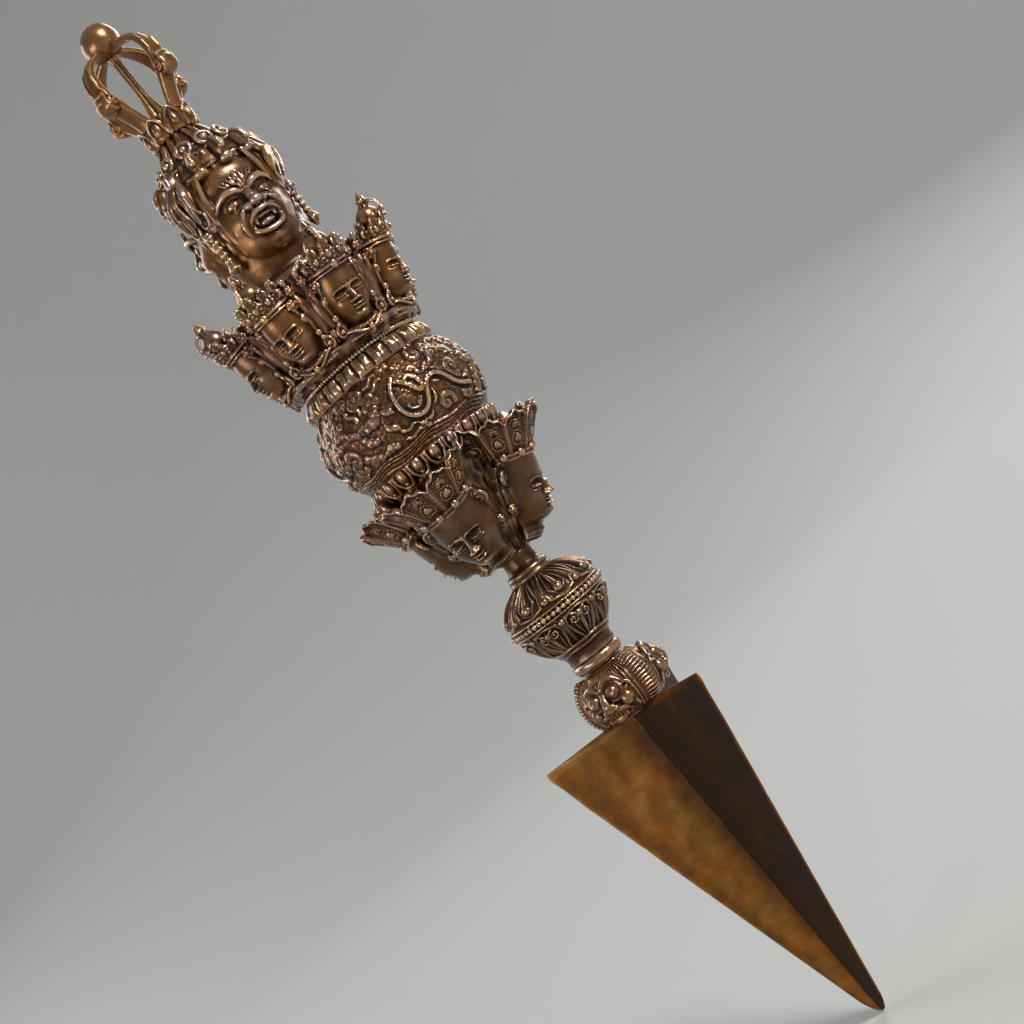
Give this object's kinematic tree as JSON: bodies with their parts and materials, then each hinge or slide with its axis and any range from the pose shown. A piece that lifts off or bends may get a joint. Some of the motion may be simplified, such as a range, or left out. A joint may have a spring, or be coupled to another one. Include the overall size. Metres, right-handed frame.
{
  "type": "phurba ritual dagger",
  "caption": "Cast copper-alloy ritual dagger with a three-finned blade, lotus knop, globe, rings of crowned heads and a half vajra finial.",
  "frame": {"origin": "tip of the blade, on the long axis", "axes": "+Z along the long axis from the blade tip to the ball finial, -Y toward the pictured side"},
  "size_m": [0.0418, 0.0418, 0.2248],
  "materials": {
    "blade_bronze": "brown mottled patina, rubbed at the edges",
    "solder": "dull grey solder",
    "cast_copper": "cast copper alloy with dark recesses",
    "dark_copper": "dark oiled patina",
    "rubbed_copper": "cast copper alloy, rubbed bright on high spots",
    "rod_iron": "plain iron rod"
  },
  "bodies": {
    "root": {"blade": "blade_bronze", "blade_solder": "solder", "makara_socket": "cast_copper", "waist_collar": "cast_copper", "lotus_cup": "cast_copper", "lotus_cap": "cast_copper", "neck_post": "cast_copper", "globe_lower": "cast_copper", "globe_upper": "cast_copper", "wrathful_head": "cast_copper", "vajra_hub": "cast_copper", "vajra_prong_1": "cast_copper", "vajra_prong_2": "cast_copper", "vajra_prong_3": "cast_copper", "vajra_prong_4": "cast_copper", "lower_head_1": "cast_copper", "lower_head_2": "cast_copper", "lower_head_3": "cast_copper", "lower_head_4": "cast_copper", "upper_head_1": "cast_copper", "upper_head_2": "cast_copper", "upper_head_3": "cast_copper", "upper_head_4": "cast_copper", "upper_head_5": "cast_copper", "upper_head_6": "cast_copper", "upper_head_7": "cast_copper", "upper_head_8": "cast_copper", "lower_drum": "dark_copper", "upper_drum": "dark_copper", "hair_dome": "dark_copper", "makara_face_1": "rubbed_copper", "makara_face_2": "rubbed_copper", "makara_face_3": "rubbed_copper", "lower_ring": "rubbed_copper", "bead_belt": "rubbed_copper", "lower_tiara_1": "rubbed_copper", "lower_tiara_2": "rubbed_copper", "lower_tiara_3": "rubbed_copper", "lower_tiara_4": "rubbed_copper", "globe_foot_row": "rubbed_copper", "globe_crest_row": "rubbed_copper", "bead_choker": "rubbed_copper", "upper_crown_1": "rubbed_copper", "upper_crown_2": "rubbed_copper", "upper_crown_3": "rubbed_copper", "upper_crown_4": "rubbed_copper", "upper_crown_5": "rubbed_copper", "upper_crown_6": "rubbed_copper", "upper_crown_7": "rubbed_copper", "upper_crown_8": "rubbed_copper", "skull_crown": "rubbed_copper", "ear_pendant_1": "rubbed_copper", "ear_pendant_2": "rubbed_copper", "ear_pendant_3": "rubbed_copper", "vajra_shaft": "rubbed_copper", "vajra_ball": "rubbed_copper", "core_rod": "rod_iron"}
  },
  "joints": []
}
